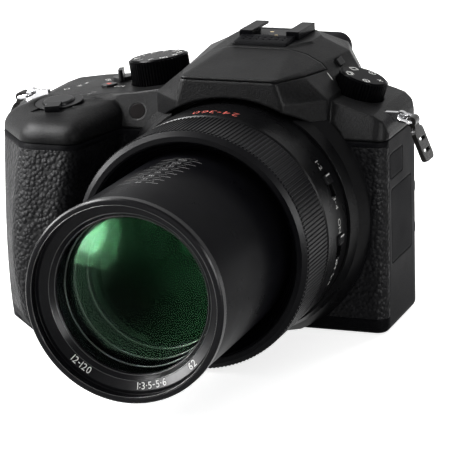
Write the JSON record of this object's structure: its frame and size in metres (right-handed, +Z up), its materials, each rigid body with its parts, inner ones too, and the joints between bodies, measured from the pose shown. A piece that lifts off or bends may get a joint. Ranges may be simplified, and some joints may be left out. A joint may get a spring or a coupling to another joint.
{
  "type": "bridge camera",
  "caption": "Bridge camera with a deep hand grip, a raised viewfinder hump and a long zoom barrel run out, with ribbed zoom ring, dials and a swing-out screen.",
  "frame": {"origin": "mouth of the tripod socket in the base, under the lens axis", "axes": "+Z up, the lens looks along -Y, the hand grip is at -X"},
  "size_m": [0.1603, 0.1831, 0.0985],
  "materials": {
    "body_plastic": "fine-grained black moulding",
    "top_plastic": "fine-grained black moulding",
    "leatherette": "pebbled black rubber skin",
    "barrel_plastic": "smooth satin black",
    "ribbed_ring": "straight-ribbed black grip ring",
    "inner_tube": "satin black tube with turned lines",
    "rim_black": "semi-gloss black rim",
    "coated_glass": "multi-coated lens glass with a green cast",
    "clear_glass": "clear window",
    "control_black": "smooth black control",
    "dial_black": "knurled black dial",
    "bright_metal": "polished steel wire",
    "shoe_metal": "black lacquered steel",
    "contact_metal": "gold-plated pads",
    "screen_face": "dark glossy display cover",
    "steel": "plain steel",
    "strap_black": "black moulded strap end",
    "soft_rubber": "soft black rubber",
    "board_green": "green circuit board",
    "sensor_dark": "dark sensor cover glass on its board",
    "cell_grey": "grey shrink-wrapped cell",
    "lamp_clear": "frosted lamp window",
    "flash_clear": "frosted flash window"
  },
  "bodies": {
    "camera": {"base_plate": "body_plastic", "tripod_bush": "steel", "base_screws": "steel", "battery_bay": "body_plastic", "battery": "cell_grey", "front_cover": "body_plastic", "grip_rubber": "leatherette", "front_panel": "leatherette", "rear_cover": "body_plastic", "thumb_rest": "leatherette", "hinge_pin": "steel", "top_cover": "top_plastic", "microphone_grille": "body_plastic", "hot_shoe": "shoe_metal", "shoe_contacts": "contact_metal", "eyepiece_lens": "clear_glass", "eyecup": "soft_rubber", "focus_lamp": "lamp_clear", "strap_lugs": "bright_metal", "lens_collar": "barrel_plastic", "fixed_barrel": "barrel_plastic", "barrel_baffle": "inner_tube", "rear_lens": "coated_glass", "sensor_mount": "body_plastic", "image_sensor": "sensor_dark", "main_board": "board_green"},
    "zoom_barrel": {"inner_barrel": "inner_tube", "front_rim": "rim_black", "front_lens": "coated_glass", "second_lens": "coated_glass"},
    "ring": {"zoom_ring": "ribbed_ring"},
    "focus_slider": {"focus_switch": "control_black"},
    "stabiliser_slider": {"stabiliser_switch": "control_black"},
    "lever": {"zoom_lever": "dial_black"},
    "shutter": {"shutter_button": "control_black"},
    "mode": {"mode_dial": "dial_black"},
    "drive": {"drive_dial": "dial_black"},
    "thumb_wheel": {"rear_dial": "dial_black"},
    "diopter": {"diopter_dial": "dial_black"},
    "power": {"power_lever": "control_black"},
    "movie": {"movie_button": "control_black"},
    "flash_key": {"flash_button": "control_black"},
    "playback": {"playback_button": "control_black"},
    "display": {"display_button": "control_black"},
    "delete": {"delete_button": "control_black"},
    "menu_set": {"menu_set_button": "control_black"},
    "wheel": {"control_wheel": "dial_black"},
    "display_panel": {"screen": "body_plastic", "screen_glass": "screen_face"},
    "terminals": {"terminal_door": "soft_rubber"},
    "mic_cover": {"microphone_door": "soft_rubber"},
    "battery_cover": {"battery_door": "body_plastic"},
    "latch": {"battery_latch": "control_black"},
    "flash": {"flash_head": "top_plastic", "flash_window": "flash_clear"},
    "right_ring": {"strap_ring_right": "bright_metal"},
    "left_ring": {"strap_ring_left": "bright_metal"},
    "right_tab": {"strap_tab_right": "strap_black"},
    "left_tab": {"strap_tab_left": "strap_black"}
  },
  "joints": [
    {"name": "zoom_slide", "type": "slide", "parent": "camera", "child": "zoom_barrel", "axis": [0, 1, 0], "range_m": [0, 0.055]},
    {"name": "zoom_ring_turn", "type": "hinge", "parent": "camera", "child": "ring", "pos_m": [0, -0.0646, 0.0412], "axis": [0, -1, 0], "continuous": true},
    {"name": "focus_switch_slide", "type": "hinge", "parent": "camera", "child": "focus_slider", "pos_m": [0, -0.0409, 0.0412], "axis": [0, 1, 0], "range_deg": [0, 6.2]},
    {"name": "stabiliser_switch_slide", "type": "hinge", "parent": "camera", "child": "stabiliser_slider", "pos_m": [0, -0.0409, 0.0412], "axis": [0, 1, 0], "range_deg": [0, 6.2]},
    {"name": "zoom_lever_turn", "type": "hinge", "parent": "camera", "child": "lever", "pos_m": [-0.0665, -0.025, 0.0762], "axis": [-0.0698, -0.1045, 0.9921], "range_deg": [-22, 22], "stiffness_Nm_per_rad": 0.02},
    {"name": "shutter_press", "type": "slide", "parent": "camera", "child": "shutter", "axis": [0.0698, 0.1045, -0.9921], "range_m": [0, 0.0012], "stiffness_N_per_m": 800},
    {"name": "mode_dial_turn", "type": "hinge", "parent": "camera", "child": "mode", "pos_m": [-0.0388, 0.0035, 0.08015], "axis": [-0.1392, 0, 0.9903], "continuous": true},
    {"name": "drive_dial_turn", "type": "hinge", "parent": "camera", "child": "drive", "pos_m": [0.0343, 0.001, 0.0774], "axis": [0.309, 0, 0.9511], "range_deg": [-60, 60]},
    {"name": "rear_dial_turn", "type": "hinge", "parent": "camera", "child": "thumb_wheel", "pos_m": [-0.058, 0.0158, 0.0717], "axis": [0, 0, 1], "continuous": true},
    {"name": "diopter_turn", "type": "hinge", "parent": "camera", "child": "diopter", "pos_m": [0.02725, 0.03, 0.077], "axis": [0.9363, 0.3511, 0], "range_deg": [-150, 150]},
    {"name": "power_lever_turn", "type": "hinge", "parent": "camera", "child": "power", "pos_m": [-0.056, 0.009, 0.07833], "axis": [0.0958, 0, -0.9954], "range_deg": [0, 35]},
    {"name": "movie_press", "type": "slide", "parent": "camera", "child": "movie", "axis": [0.0958, 0, -0.9954], "range_m": [0, 0.0007], "stiffness_N_per_m": 600},
    {"name": "flash_key_press", "type": "slide", "parent": "camera", "child": "flash_key", "axis": [-0.7863, 0.0974, -0.6102], "range_m": [0, 0.0007], "stiffness_N_per_m": 600},
    {"name": "playback_press", "type": "slide", "parent": "camera", "child": "playback", "axis": [0, -1, 0], "range_m": [0, 0.0006], "stiffness_N_per_m": 600},
    {"name": "display_press", "type": "slide", "parent": "camera", "child": "display", "axis": [0, -1, 0], "range_m": [0, 0.0006], "stiffness_N_per_m": 600},
    {"name": "delete_press", "type": "slide", "parent": "camera", "child": "delete", "axis": [0, -1, 0], "range_m": [0, 0.0006], "stiffness_N_per_m": 600},
    {"name": "menu_set_press", "type": "slide", "parent": "camera", "child": "menu_set", "axis": [0, -1, 0], "range_m": [0, 0.0006], "stiffness_N_per_m": 600},
    {"name": "control_wheel_turn", "type": "hinge", "parent": "camera", "child": "wheel", "pos_m": [-0.0495, 0.021, 0.035], "axis": [0, 1, 0], "continuous": true},
    {"name": "screen_swing", "type": "hinge", "parent": "camera", "child": "display_panel", "pos_m": [0.0462, 0.02025, 0.035], "axis": [0, 0, -1], "range_deg": [0, 180]},
    {"name": "terminal_door_swing", "type": "hinge", "parent": "camera", "child": "terminals", "pos_m": [0.051, 0.009, 0.037], "axis": [0, 0, 1], "range_deg": [0, 100]},
    {"name": "microphone_door_swing", "type": "hinge", "parent": "camera", "child": "mic_cover", "pos_m": [0.051, -0.00875, 0.054], "axis": [0, 1, 0], "range_deg": [0, 100]},
    {"name": "battery_door_swing", "type": "hinge", "parent": "camera", "child": "battery_cover", "pos_m": [-0.067, 0.002, 0], "axis": [1, 0, 0], "range_deg": [0, 90]},
    {"name": "battery_latch_slide", "type": "slide", "parent": "battery_cover", "child": "latch", "axis": [0, 1, 0], "range_m": [0, 0.002]},
    {"name": "flash_raise", "type": "hinge", "parent": "camera", "child": "flash", "pos_m": [0, -0.0038, 0.095], "axis": [-1, 0, 0], "range_deg": [0, 40]},
    {"name": "right_ring_swing", "type": "hinge", "parent": "camera", "child": "right_ring", "pos_m": [0.0528, -0.008, 0.0742], "axis": [0, -1, 0], "range_deg": [-15, 60]},
    {"name": "left_ring_swing", "type": "hinge", "parent": "camera", "child": "left_ring", "pos_m": [-0.0869, -0.002, 0.0742], "axis": [0, 1, 0], "range_deg": [-15, 60]},
    {"name": "right_tab_swing", "type": "hinge", "parent": "right_ring", "child": "right_tab", "pos_m": [0.05686, -0.008, 0.07311], "axis": [0, -1, 0], "range_deg": [-20, 60]},
    {"name": "left_tab_swing", "type": "hinge", "parent": "left_ring", "child": "left_tab", "pos_m": [-0.09096, -0.002, 0.07311], "axis": [0, 1, 0], "range_deg": [-20, 60]}
  ]
}
